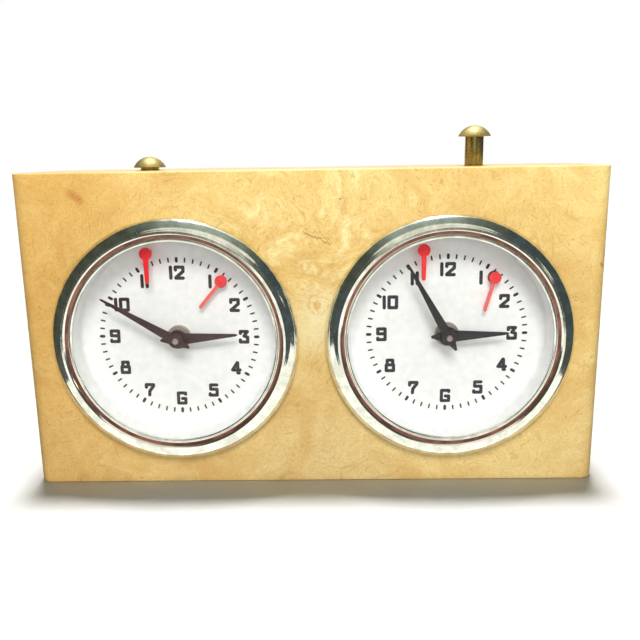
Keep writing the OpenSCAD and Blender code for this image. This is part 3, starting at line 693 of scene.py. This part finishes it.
def dial(side):
    low = DIAL - 0.6
    holes = [circle(2.6), circle(1.0, FLAG_AT, 32), circle(2.2, TICKER_HOLE[side], 40)]
    plate = slab([circle(SIGHT_R, count=160)] + holes, low, DIAL)
    rim = CRYSTAL_BACK
    cove, cup_r = 1.2, 35.4
    wall = [(SIGHT_R, low), (cup_r, low), (cup_r, rim), (cup_r - 0.35, rim), (SIGHT_R, rim - 0.15)]
    wall += arc(SIGHT_R - cove, DIAL + cove, cove, 0, -90, 8)
    wall += [(SIGHT_R - cove, DIAL - 0.1), (SIGHT_R, DIAL - 0.1)]
    wall = lathe(wall, 160)
    foot = [(0, low - 3.4), (1.2, low - 3.4), (1.2, low), (0, low)]
    feet = [moved(lathe(foot, 24), Matrix.Translation((*polar(32.5, angle), 0))) for angle in (30, 150, 270)]
    piece(f"dial_cup_{side}", joined(plate, wall, *feet), CLOCK[side], ENAMEL, "case",
          [f"dial_{side}"])


def bezel(side):
    crown = PROUD["bezel"]
    radius, back, dome = BEZEL_R, 0.5, 7.1
    steep, flat = 56, 22
    foot_r, seat_r, groove_in, groove_out = 41.1, 35.8, 36.0, 37.15
    middle_r = radius - 0.15 - dome * math.sin(math.radians(steep))
    middle_h = crown - 0.45 - dome * math.cos(math.radians(flat))
    outer = [(foot_r, 0), (radius - 0.2, 0), (radius, 0.2)]
    outer += [(radius, crown - 3.35), (radius - 0.04, crown - 3.2)]
    band = arc(middle_r, middle_h, dome, 90 - steep, 90 - flat, 22)
    lip = [(38.93, crown - 0.42), (38.8, crown - 0.4), (38.7, crown - 0.3)]
    lip += arc(38.35, crown - 0.32, 0.32, 160, 90, 6)
    lip += arc(37.6, crown - 0.45, 0.45, 90, 10, 8)
    groove = [(37.2, crown - 0.9), (37.0, crown - 1.15), (36.6, crown - 1.32), (36.1, crown - 1.4),
              (35.85, crown - 1.38)]
    bead = [(35.78, crown - 1.3), (35.7, crown - 1.12)] + arc(35.35, crown - 1.35, 0.36, 40, 150, 8)
    bead += [(SIGHT_R, crown - 1.2)]
    inside = [(SIGHT_R, PROUD["crystal"]), (seat_r, PROUD["crystal"]), (seat_r, back), (foot_r, back)]
    bm = lathe(outer + band + lip + groove + bead + inside, 192)
    bm.faces.ensure_lookup_table()
    for face in bm.faces:
        middle = face.calc_center_median()
        if groove_in < math.hypot(middle.x, middle.y) < groove_out and middle.z > crown - 1.45:
            face.material_index = 1
    piece(f"bezel_ring_{side}", bm, CLOCK[side], [CHROME, GROOVE], "case", [f"bezel_{side}"], 40)


def pane(side):
    low, high = CRYSTAL_BACK, PROUD["crystal"]
    r = 35.7
    chamfer = 0.15
    bm = lathe([(0, low), (r - chamfer, low), (r, low + chamfer),
                (r, high - chamfer), (r - chamfer, high), (0, high)], 160)
    piece(f"crystal_pane_{side}", bm, CLOCK[side], CRYSTAL, "case", [f"crystal_{side}"])


def hand_outline(length, root_w, tip_w, tail, hub):
    return union_outline([
        circle(hub, count=48),
        [(-root_w / 2, 0), (root_w / 2, 0),
         (tip_w / 2, length - tip_w), (0, length), (-tip_w / 2, length - tip_w)],
        [(-hub * 0.8, 0), (-0.35, -tail), (0.35, -tail), (hub * 0.8, 0)]])


MINUTE_ANGLE = {"left": 59.5, "right": 29.4}
HOUR_ANGLE = {"left": -86.5, "right": -87.7}
TICKER_ANGLE = {"left": -220.0, "right": -196.0}


def spin(side, angle):
    return CLOCK[side] @ Matrix.Rotation(math.radians(angle), 4, "Z")


HOUR_HAND = {"length": 21.3, "root_w": 4.4, "tip_w": 0.85, "tail": 5.9, "hub": 3.3}
MINUTE_HAND = {"length": 29.7, "root_w": 3.5, "tip_w": 0.7, "tail": 5.2, "hub": 2.6}
BLADE = 0.5  # thickness of a hand
ARBOR_END = -11.4  # inner end of the arbors of flags and indicators


def hands(side):
    hole, hub = 2.5, HOUR_HAND["hub"]
    top = PROUD["hour_hand"] - 0.2
    blade = slab(hand_outline(**HOUR_HAND) + [circle(hole, count=40)], top - BLADE, top, 0.1)
    boss = lathe([(hole, top - 0.8), (hub - 0.1, top - 0.8), (hub, top - 0.7),
                  (hub, top + 0.1), (hub - 0.1, top + 0.2), (hole, top + 0.2)], 64)
    piece(f"hour_hand_blade_{side}", joined(blade, boss), spin(side, HOUR_ANGLE[side]), HAND[side],
          f"hour_pipe_{side}", [f"hour_hand_{side}"])
    top = PROUD["minute_hand"] - 0.3
    hole, hub = 1.65, MINUTE_HAND["hub"]
    blade = slab(hand_outline(**MINUTE_HAND) + [circle(hole, count=40)], top - BLADE, top, 0.1)
    boss = lathe([(1.1, top), (hole, top), (hole, top - 0.5), (hub - 0.1, top - 0.5),
                  (hub, top - 0.4), (hub, top + 0.2), (hub - 0.15, top + 0.3), (1.1, top + 0.3)], 64)
    piece(f"minute_hand_blade_{side}", joined(blade, boss), spin(side, MINUTE_ANGLE[side]), HAND[side],
          f"minute_arbor_{side}", [f"minute_hand_{side}"])


def flag(side):
    top = PROUD["flag"] - 0.3
    reach, tip = 9.62, 0.68
    parts = union_outline([
        circle(2.15, count=48), [(-0.95, 0), (-tip, -reach), (tip, -reach), (0.95, 0)],
        circle(tip, (0, -reach), 24)])
    blade = slab(parts, top - 0.8, top, 0.18)
    boss = lathe([(0, top - 0.1), (1.15, top - 0.1), (1.1, top + 0.08), (0.75, top + 0.12),
                  (0.7, top + 0.22), (0.6, top + 0.3), (0, top + 0.3)], 40)
    arbor = lathe([(0, ARBOR_END), (0.7, ARBOR_END), (0.7, top - 0.7), (0, top - 0.7)], 24)
    piece(f"flag_blade_{side}", joined(blade, boss, arbor), CLOCK[side] @ Matrix.Translation((*FLAG_AT, 0)),
          FLAG, f"flag_{side}", [f"flag_{side}"])


def running_indicator(side):
    top = PROUD["running_indicator"] - 0.3
    length, arm, head = 12.2, 1.15, 2.1
    parts = union_outline([
        circle(head, count=48),
        [(-arm / 2, 0), (arm / 2, 0), (arm / 2, length - arm / 2), (-arm / 2, length - arm / 2)],
        circle(arm / 2, (0, length - arm / 2), 24)])
    blade = slab(parts, top - 0.8, top, 0.15)
    for face in blade.faces:
        middle = face.calc_center_median()
        if math.hypot(middle.x, middle.y) > head:
            face.material_index = 1
    boss = lathe([(0, top - 0.1), (0.8, top - 0.1), (0.75, top + 0.1), (0.55, top + 0.14), (0.5, top + 0.26),
                  (0.42, top + 0.3), (0, top + 0.3)], 32)
    arbor = lathe([(0, ARBOR_END), (0.6, ARBOR_END), (0.6, top - 0.7), (0, top - 0.7)], 24)
    place = CLOCK[side] @ Matrix.Translation((*TICKER_AT, 0))
    place @= Matrix.Rotation(math.radians(TICKER_ANGLE[side]), 4, "Z")
    piece(f"running_indicator_arm_{side}", joined(blade, boss, arbor), place,
          [TICKER, TICKER_ARM], f"running_indicator_{side}", [f"running_indicator_{side}"])


def gear_outline(teeth, module):
    r = teeth * module / 2
    root, tip, quarter = r - 1.15 * module, r + 0.75 * module, 90 / teeth
    return [polar(rad, 360 * i / teeth + a * quarter) for i in range(teeth)
            for a, rad in ((-1.2, root), (-0.36, tip), (0.36, tip), (1.2, root))]


def centre_arbor(side):
    tip = PROUD["centre_arbor"]
    shoulder = tip - 1.6
    base = -(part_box(f"centre_arbor_{side}")[1].y - FACE_Y) / MM
    pinion = -9.7
    arbor_r, pipe_r, pin_r = 1.2, 1.65, 0.98
    shaft = [(0, base), (arbor_r, base), (arbor_r, pinion), (pipe_r, pinion), (pipe_r, shoulder)]
    shaft += [(pin_r, shoulder), (pin_r, tip - 0.22), (0.92, tip - 0.06), (0.8, tip)]
    shaft += [(0.3, tip), (0.22, tip - 0.12), (0, tip - 0.15)]
    shaft = lathe(shaft, 48)
    gear = slab([gear_outline(12, 0.4)], pinion, pinion + 1.4)
    piece(f"centre_pin_{side}", joined(shaft, gear), CLOCK[side], PIN, f"minute_arbor_{side}",
          [f"centre_arbor_{side}"])


def collars():
    low = DIAL
    r = 4.3
    profile = [(2.6, low), (r - 0.1, low), (r, low + 0.1), (r, low + 0.85), (r - 0.1, low + 1.03)]
    profile += [(r - 0.3, low + 1.1), (r - 0.55, low + 1.1), (r - 0.7, low + 0.92), (3.2, low + 0.92)]
    profile += [(3.1, low + 1.02), (2.9, low + 1.02), (2.6, low + 0.9)]
    parts = [moved(lathe(profile, 64), CLOCK[side]) for side in SIDES]
    whole = moved(joined(*parts), Matrix.Scale(1 / MM, 4))
    piece("dial_collars", whole, Matrix.Scale(MM, 4), COLLAR, "case", ["dial_washers"])


for side in SIDES:
    bezel(side)
    pane(side)
    dial(side)
    dial_marks(side)
    hands(side)
    flag(side)
    running_indicator(side)
    centre_arbor(side)
collars()


# ------------------------------------------------------------------ plungers, knobs and keys

def plunger(side):
    low, high = mm_box(f"plunger_{side}")
    cap_r, dome, stem, neck = (high.x - low.x) / 2, 3.8, 3.3, 0.25
    dome_r = (cap_r ** 2 + dome ** 2) / (2 * dome)
    top = high.z - low.z
    rim = top - dome
    profile = arc(0, stem, stem, -90, 0, 10)
    profile += [(stem, rim - neck)] + arc(stem + neck, rim - neck, neck, 180, 90, 6)
    profile += [(cap_r - 0.35, rim), (cap_r - 0.1, rim + 0.06), (cap_r, rim + 0.25)]
    start = math.degrees(math.asin((rim + 0.25 - (top - dome_r)) / dome_r))
    profile += [(min(x, cap_r), y) for x, y in arc(0, top - dome_r, dome_r, start, 90, 20)]
    middle = centre_of(f"plunger_{side}")
    at = Vector((middle.x, middle.y, low.z * MM))
    bm = lathe(profile, 96)
    for face in bm.faces:
        if face.calc_center_median().z < rim - 0.02:
            face.material_index = 1
    piece(f"plunger_button_{side}", bm, to_up(at), [BRASS, STEM_BRASS], f"plunger_{side}",
          [f"plunger_{side}"])


def set_knob(side):
    low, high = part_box(f"set_knob_{side}")
    back, front = -(high.y - FACE_Y) / MM, -(low.y - FACE_Y) / MM
    ribs, r = 24, 6.0
    teeth = [polar(r - 0.4 * (i % 2), 180 * i / ribs) for i in range(2 * ribs)]
    knurl = slab([teeth], back + 0.8, front - 0.8, 0.15)
    core = lathe([(0, back), (r - 1.3, back), (r - 0.9, back + 0.3),
                  (r - 0.9, front - 0.3), (r - 1.2, front), (0, front)], 64)
    piece(f"set_knob_turned_{side}", joined(knurl, core), CLOCK[side], BRASS, f"minute_arbor_{side}",
          [f"set_knob_{side}"])


def softened(name, node, width, finish, body, cuts=2):
    """Copy of a CAD shape whose sharp edges are rounded off."""
    bm = bmesh.new()
    bm.from_mesh(frame["nodes"][node].data)
    bm.transform(Matrix.Scale(1 / MM, 4))
    bmesh.ops.remove_doubles(bm, verts=bm.verts, dist=1e-4)
    bmesh.ops.dissolve_limit(bm, angle_limit=math.radians(0.5), verts=bm.verts, edges=bm.edges)
    sharp = [e for e in bm.edges if e.is_manifold and e.calc_face_angle(0) > math.radians(38)]
    bmesh.ops.bevel(bm, geom=sharp, offset=width, offset_type="OFFSET", segments=cuts, profile=0.5,
                    affect="EDGES", clamp_overlap=True)
    bmesh.ops.triangulate(bm, faces=[f for f in bm.faces if len(f.verts) > 4])
    obj = piece(name, bm, Matrix.Scale(MM, 4), finish, body, [node], 48)
    even = obj.modifiers.new("even_shading", "WEIGHTED_NORMAL")
    even.keep_sharp = True


for side in SIDES:
    plunger(side)
    set_knob(side)
    softened(f"winding_key_wings_{side}", f"winding_key_{side}", 0.45, BRASS, f"winding_{side}", 3)
softened("back_panel_veneered", "back_panel", 0.35, PLAIN_WOOD, "case")
softened("back_panel_screw_heads", "back_panel_screws", 0.1, STEEL, "case")
softened("plunger_bush_rings", "plunger_bushes", 0.15, BRASS, "case")


# ------------------------------------------------------------------ stage, light and camera, in metres

def simple_emitter(name, rgb, strength, far_rgb):
    """Light from a surface alone, which may change towards its left and right ends."""
    material, tree, shader = new_material(name)
    shader.inputs["Base Color"].default_value = (0, 0, 0, 1)
    shader.inputs["Roughness"].default_value = 1.0
    shader.inputs["Specular IOR Level"].default_value = 0.0
    shader.inputs["Emission Color"].default_value = linear(rgb)
    if far_rgb:
        across = add(tree, "SeparateXYZ", i0=add(tree, "TexCoord").outputs["Object"]).outputs[0]
        share = smooth_step(tree, math_node(tree, "ABSOLUTE", across), 0.03, 0.24)
        tree.links.new(mix(tree, share, rgb, far_rgb), shader.inputs["Emission Color"])
    shader.inputs["Emission Strength"].default_value = strength
    return material


def stage_mesh(name, bm, material):
    mesh = bpy.data.meshes.new(name)
    bm.to_mesh(mesh)
    bm.free()
    mesh.materials.append(material)
    mesh.shade_smooth()
    obj = bpy.data.objects.new(name, mesh)
    scene.collection.objects.link(obj)
    return obj


# Pale floor
floor_material, tree, shader = new_material("floor_paper")
paper = noise(tree, add(tree, "TexCoord").outputs["Object"], 60.0, 5, 0.6)
paper_tone = ramp(tree, paper, [(0.3, (221, 220, 218)), (0.7, (227, 226, 225))])
tree.links.new(paper_tone, shader.inputs["Base Color"])
shader.inputs["Roughness"].default_value = 0.9
shader.inputs["Specular IOR Level"].default_value = 0.1
ground = bmesh.new()
FLOOR_R = 6.0
bmesh.ops.create_circle(ground, cap_ends=True, segments=64, radius=FLOOR_R)
ground.transform(Matrix.Translation((0, 0, BASE_Z)))
floor = stage_mesh("studio_floor", ground, floor_material)


def reflection_card(name, corners, rgb, strength=1.0, far_rgb=None):
    """Card that only mirror-like surfaces see, as a dark or bright panel beside the set."""
    bm = bmesh.new()
    bm.faces.new([bm.verts.new(c) for c in corners])
    card = stage_mesh(name, bm, simple_emitter(name, rgb, strength, far_rgb))
    card.visible_camera = False
    card.visible_diffuse = False
    card.visible_shadow = False
    card.visible_transmission = False
    card.visible_volume_scatter = False


def level(x0, x1, y0, y1, z):
    """Corners of a level card."""
    return [(x0, y0, z), (x1, y0, z), (x1, y1, z), (x0, y1, z)]


def level_round(at, half_x, half_y):
    """Corners of a level oval card."""
    return [(at[0] + half_x * x, at[1] + half_y * y, at[2]) for x, y in circle(1.0)]


def across_x(x, y0, y1, z0, z1):
    """Corners of a card that stands across the X axis."""
    return [(x, y0, z0), (x, y1, z0), (x, y1, z1), (x, y0, z1)]


def across_y(y, x0, x1, z0, z1):
    """Corners of a card that stands across the Y axis."""
    return [(x0, y, z0), (x1, y, z0), (x1, y, z1), (x0, y, z1)]


# What the polished parts see around the clock: white paper, a pale ceiling with a grey gap, a dark room,
# and a bright upright strip for the plunger's stem
floor.visible_glossy = False
reflection_card("card_ground", level(-0.9, 0.9, -0.9, 0.6, -0.004), (84, 86, 78))
reflection_card("card_paper", level(-0.157, 0.157, -0.6, -0.0285, 0.0006), (255, 253, 240), 1.2)
reflection_card("card_left", across_x(-0.24, -0.4, 0.3, 0.001, 0.6), (72, 76, 66))
reflection_card("card_right", across_x(0.28, -0.4, 0.3, 0.001, 0.6), (70, 80, 82))
reflection_card("card_overhead", level_round((0.012, 0.105, 0.33), 0.21, 0.14), (255, 255, 248), 1.15)
reflection_card("card_gap", level(-0.4, 0.4, -0.26, 0.25, 0.332), (158, 168, 156), 1.0, (84, 90, 80))
reflection_card("card_ahead", level_round((0.022, -0.37, 0.33), 0.25, 0.145), (244, 241, 224))
reflection_card("card_room", across_y(-0.75, -0.7, 0.7, -0.01, 0.9), (214, 212, 196), 1.0, (92, 94, 82))
reflection_card("card_glint", across_x(0.272, -0.285, -0.205, 0.1, 0.135), (255, 246, 214), 3.2)
reflection_card("card_middle", [(0, -0.047 + 0.011 * x, 0.057 + 0.02 * z) for x, z in circle(1.0, count=32)],
                (72, 80, 84))


def area_light(name, place, target, size, power, colour):
    light = bpy.data.lights.new(name, "AREA")
    light.shape = "RECTANGLE"
    light.size, light.size_y = size
    light.energy = power
    light.color = colour
    obj = bpy.data.objects.new(name, light)
    obj.location = place
    obj.rotation_mode = "QUATERNION"
    obj.rotation_quaternion = (Vector(target) - Vector(place)).to_track_quat("-Z", "Y")
    scene.collection.objects.link(obj)
    return obj


key = area_light("key", (0.04, -0.61, 0.66), (0.02, 0, 0.055), (0.38, 0.28), 7.3, (1.0, 0.985, 0.95))
fill = area_light("fill", (0.14, -0.7, 0.2), (0.02, 0, 0.06), (0.5, 0.4), 1.0, (1.0, 0.99, 0.96))
sun = bpy.data.lights.new("overhead", "SUN")
sun.energy = 3.9
sun.angle = math.radians(8)
sun_object = bpy.data.objects.new("overhead", sun)
sun_object.rotation_euler = (math.radians(-9), 0, 0)
scene.collection.objects.link(sun_object)

# Surroundings: a white backdrop, which lights less from above and from below than along the horizon
world = bpy.data.worlds.new("studio")
scene.world = world
world.use_nodes = True
tree = world.node_tree
way = add(tree, "SeparateXYZ", i0=add(tree, "TexCoord").outputs["Generated"])
upper = mix(tree, smooth_step(tree, way.outputs[2], 0.24, 0.36), (255, 255, 255), (84, 92, 84))
around = mix(tree, smooth_step(tree, way.outputs[2], -0.02, -0.06), upper, (150, 147, 140))
seen = add(tree, "LightPath").outputs["Is Camera Ray"]
tree.links.new(mix(tree, seen, around, (255, 255, 255)), tree.nodes["Background"].inputs["Color"])
tree.nodes["Background"].inputs["Strength"].default_value = 1.0

# The key and the fill light the clock alone, and the floor throws no light back,
# so that the shadow stays at the clock's foot
lit = bpy.data.collections.new("lit_by_key")
for obj in scene.objects:
    if obj.type == "MESH" and obj.parent is not None:
        lit.objects.link(obj)
for light in (key, fill):
    light.light_linking.receiver_collection = lit
    light.visible_glossy = False
floor.visible_diffuse = False

CAMERA_LENS = 41.34
CAMERA_AT = (0.007155, FACE_Y - 0.24614, BASE_Z + 0.11503)
PITCH, YAW, ROLL = 12.76, -1.01, -0.88
camera_data = bpy.data.cameras.new("camera")
camera_data.sensor_width = 36.0
camera_data.lens = CAMERA_LENS
camera_data.clip_start = 0.01
camera_data.clip_end = 20.0
camera = bpy.data.objects.new("camera", camera_data)
camera.matrix_world = (
    Matrix.Translation(CAMERA_AT)
    @ Matrix.Rotation(math.radians(-YAW), 4, "Z")
    @ Matrix.Rotation(math.radians(90 - PITCH), 4, "X")
    @ Matrix.Rotation(math.radians(ROLL), 4, "Z"))
scene.collection.objects.link(camera)
scene.camera = camera
scene.view_settings.view_transform = "Standard"
scene.view_settings.look = "None"
